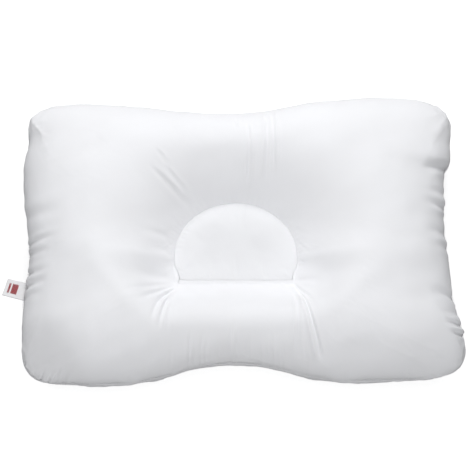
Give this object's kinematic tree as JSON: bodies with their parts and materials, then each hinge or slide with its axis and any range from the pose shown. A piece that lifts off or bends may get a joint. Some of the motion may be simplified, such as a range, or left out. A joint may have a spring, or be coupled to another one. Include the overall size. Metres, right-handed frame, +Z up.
{
  "type": "cervical support pillow",
  "caption": "White fibre-filled cervical support pillow with a sewn-in D-shaped head cradle, a full neck roll, two thick side lobes and a ribbon label loop.",
  "frame": {"origin": "middle of the flat resting face on the underside", "axes": "+X along the pillow's length, label end at -X; +Y from the neck roll to the crown edge; +Z up"},
  "size_m": [0.6348, 0.4071, 0.1143],
  "materials": {
    "cover_fabric": "matte",
    "cradle_fabric": "matte",
    "baffle_fabric": "matte",
    "fibre_fill": "matte",
    "thread": "satin",
    "label_ribbon": "satin",
    "label_mark": "satin"
  },
  "bodies": {
    "base": {"bottom_cover": "cover_fabric", "cradle_arc_baffle": "baffle_fabric", "cradle_neck_baffle": "baffle_fabric", "neck_roll_fill": "fibre_fill", "surround_fill": "fibre_fill", "cradle_fill": "fibre_fill", "perimeter_seam_thread": "thread", "perimeter_overlock_thread": "thread", "closing_seam_thread": "thread", "cradle_arc_seam_thread": "thread", "cradle_neck_seam_thread": "thread", "baffle_foot_thread": "thread"},
    "crown": {"top_cover": "cover_fabric"},
    "cradle": {"cradle_panel": "cradle_fabric"},
    "label": {"side_label": "label_ribbon", "label_mark": "label_mark"}
  },
  "joints": [
    {"name": "crown_press", "type": "slide", "parent": "base", "child": "crown", "axis": [0, 0, -1], "range_m": [0, 0.028], "stiffness_N_per_m": 1800, "deforming": ["top_cover", "neck_roll_fill", "surround_fill"]},
    {"name": "cradle_press", "type": "slide", "parent": "base", "child": "cradle", "axis": [0, 0, -1], "range_m": [0, 0.018], "stiffness_N_per_m": 700, "deforming": ["cradle_panel", "cradle_fill"]},
    {"name": "label_swing", "type": "hinge", "parent": "base", "child": "label", "pos_m": [-0.29974, -0.071, 0.05], "axis": [0.1144, 0.9934, 0], "range_deg": [-60, 75], "stiffness_Nm_per_rad": 0.0005}
  ]
}
